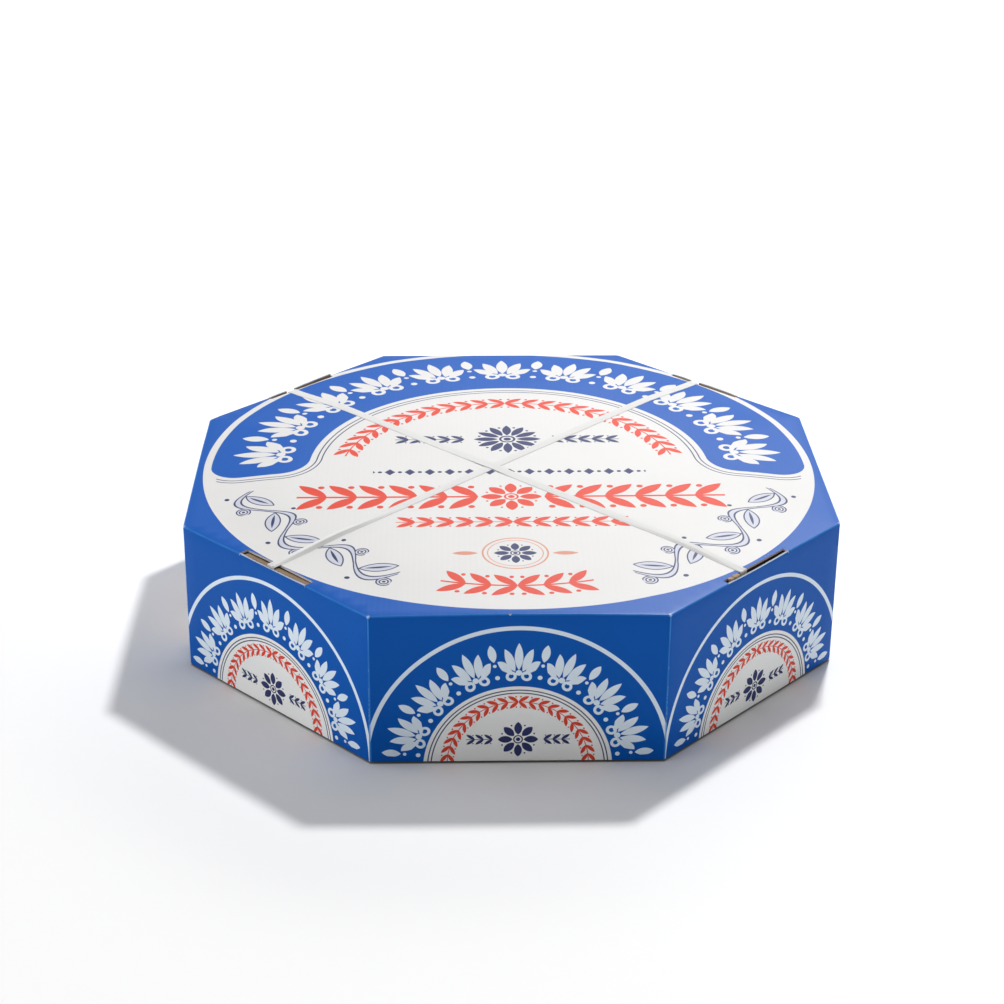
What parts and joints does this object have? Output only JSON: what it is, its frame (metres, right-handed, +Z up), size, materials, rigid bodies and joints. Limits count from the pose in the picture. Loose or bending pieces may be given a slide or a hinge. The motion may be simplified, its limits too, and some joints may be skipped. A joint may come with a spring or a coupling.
{
  "type": "octagonal pastry box",
  "caption": "Shut octagonal cardboard pastry box: a printed full-depth lid over a tray, tied with two crossed flat elastic straps.",
  "frame": {"origin": "centre of the box at the level of its underside", "axes": "+Z up, +X to the right and -Y to the front, facing the side that the picture shows head-on"},
  "size_m": [0.29, 0.284, 0.0717],
  "materials": {
    "printed_board": "white-lined micro-flute board printed blue, off-white and red with a satin varnish",
    "kraft_board": "uncoated brown kraft micro-flute board with its flutes showing at the cut edges",
    "elastic": "matt white flat woven elastic"
  },
  "bodies": {
    "root": {"lid": "printed_board", "tray": "kraft_board", "strap_under": "elastic", "strap_over": "elastic"}
  },
  "joints": []
}
